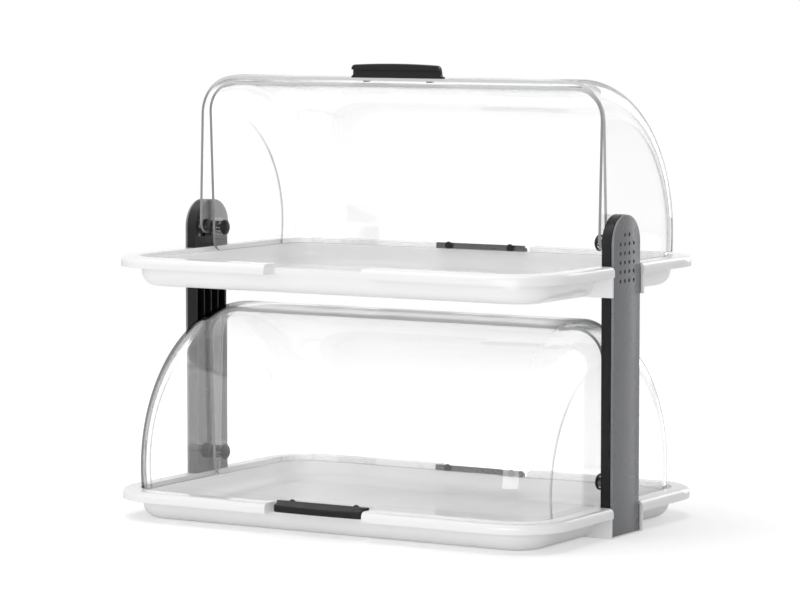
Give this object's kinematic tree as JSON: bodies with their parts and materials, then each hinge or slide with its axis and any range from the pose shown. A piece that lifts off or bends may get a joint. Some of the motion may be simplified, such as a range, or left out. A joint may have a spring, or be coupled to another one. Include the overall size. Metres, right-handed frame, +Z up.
{
  "type": "countertop bread display bin",
  "caption": "Tiered countertop bread display bin: moulded serving trays between side posts, with clear roll-top hoods that open from the front or the rear.",
  "frame": {"origin": "middle of the base, on the surface the bin stands on", "axes": "+X along the long side to the customer's right, -Y the customer's side, +Z up"},
  "size_m": [0.44, 0.308, 0.3975],
  "materials": {
    "white_plastic": "glossy moulded white",
    "clear_plastic": "clear, polished",
    "black_plastic": "satin moulded black",
    "grey_plastic": "satin dark grey",
    "screw_steel": "zinc plated"
  },
  "bodies": {
    "root": {"lower_tray": "white_plastic", "upper_tray": "white_plastic", "left_post_frame": "black_plastic", "left_post_cover": "grey_plastic", "left_frame_screws": "screw_steel", "lower_left_spacer": "black_plastic", "upper_left_spacer": "black_plastic", "right_post_frame": "black_plastic", "right_post_cover": "grey_plastic", "right_frame_screws": "screw_steel", "lower_right_spacer": "black_plastic", "upper_right_spacer": "black_plastic"},
    "lower_front_hood": {"lower_front_hood": "clear_plastic", "lower_front_handle": "black_plastic"},
    "lower_rear_hood": {"lower_rear_hood": "clear_plastic", "lower_rear_handle": "black_plastic"},
    "lower_left_pin": {"lower_left_pin": "black_plastic"},
    "lower_right_pin": {"lower_right_pin": "black_plastic"},
    "upper_front_hood": {"upper_front_hood": "clear_plastic", "upper_front_handle": "black_plastic"},
    "upper_rear_hood": {"upper_rear_hood": "clear_plastic", "upper_rear_handle": "black_plastic"},
    "upper_left_pin": {"upper_left_pin": "black_plastic"},
    "upper_right_pin": {"upper_right_pin": "black_plastic"}
  },
  "joints": [
    {"name": "lower_front_hood_hinge", "type": "hinge", "parent": "root", "child": "lower_front_hood", "pos_m": [0, 0, 0.0438], "axis": [-1, 0, 0], "range_deg": [0, 92.06]},
    {"name": "lower_rear_hood_hinge", "type": "hinge", "parent": "root", "child": "lower_rear_hood", "pos_m": [0, 0, 0.0438], "axis": [-1, 0, 0], "range_deg": [-92.06, 0]},
    {"name": "upper_rear_hood_hinge", "type": "hinge", "parent": "root", "child": "upper_rear_hood", "pos_m": [0, 0, 0.2478], "axis": [1, 0, 0], "range_deg": [0, 92.06]},
    {"name": "upper_front_hood_hinge", "type": "hinge", "parent": "upper_rear_hood", "child": "upper_front_hood", "pos_m": [0, 0, 0.2478], "axis": [-1, 0, 0], "range_deg": [-92.06, 0]},
    {"name": "lower_left_pin_turn", "type": "hinge", "parent": "root", "child": "lower_left_pin", "pos_m": [-0.2, 0, 0.0438], "axis": [1, 0, 0], "continuous": true},
    {"name": "lower_right_pin_turn", "type": "hinge", "parent": "root", "child": "lower_right_pin", "pos_m": [0.2, 0, 0.0438], "axis": [1, 0, 0], "continuous": true},
    {"name": "upper_left_pin_turn", "type": "hinge", "parent": "root", "child": "upper_left_pin", "pos_m": [-0.2, 0, 0.2478], "axis": [1, 0, 0], "continuous": true},
    {"name": "upper_right_pin_turn", "type": "hinge", "parent": "root", "child": "upper_right_pin", "pos_m": [0.2, 0, 0.2478], "axis": [1, 0, 0], "continuous": true}
  ]
}
